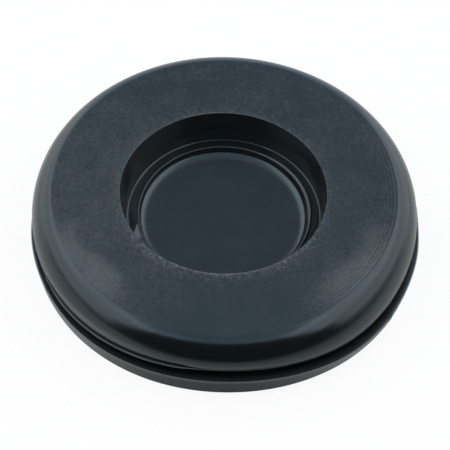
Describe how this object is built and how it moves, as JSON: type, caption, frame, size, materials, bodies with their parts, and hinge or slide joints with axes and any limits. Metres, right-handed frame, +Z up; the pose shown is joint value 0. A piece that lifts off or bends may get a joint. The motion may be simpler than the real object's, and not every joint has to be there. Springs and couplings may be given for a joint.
{
  "type": "rubber grommet",
  "caption": "Closed rubber grommet with a wide domed head flange, a round recess with a thin membrane, and a groove for a sheet panel.",
  "frame": {"origin": "on the axis, at the face that the grommet rests on (the back flange's lower face)", "axes": "+Z up along the axis, from the back flange towards the head flange; X and Y are free, as the part is round"},
  "size_m": [0.041, 0.041, 0.0072],
  "materials": {
    "grommet": "matte moulded black, slightly satin"
  },
  "bodies": {
    "root": {"grommet": "grommet"}
  },
  "joints": []
}
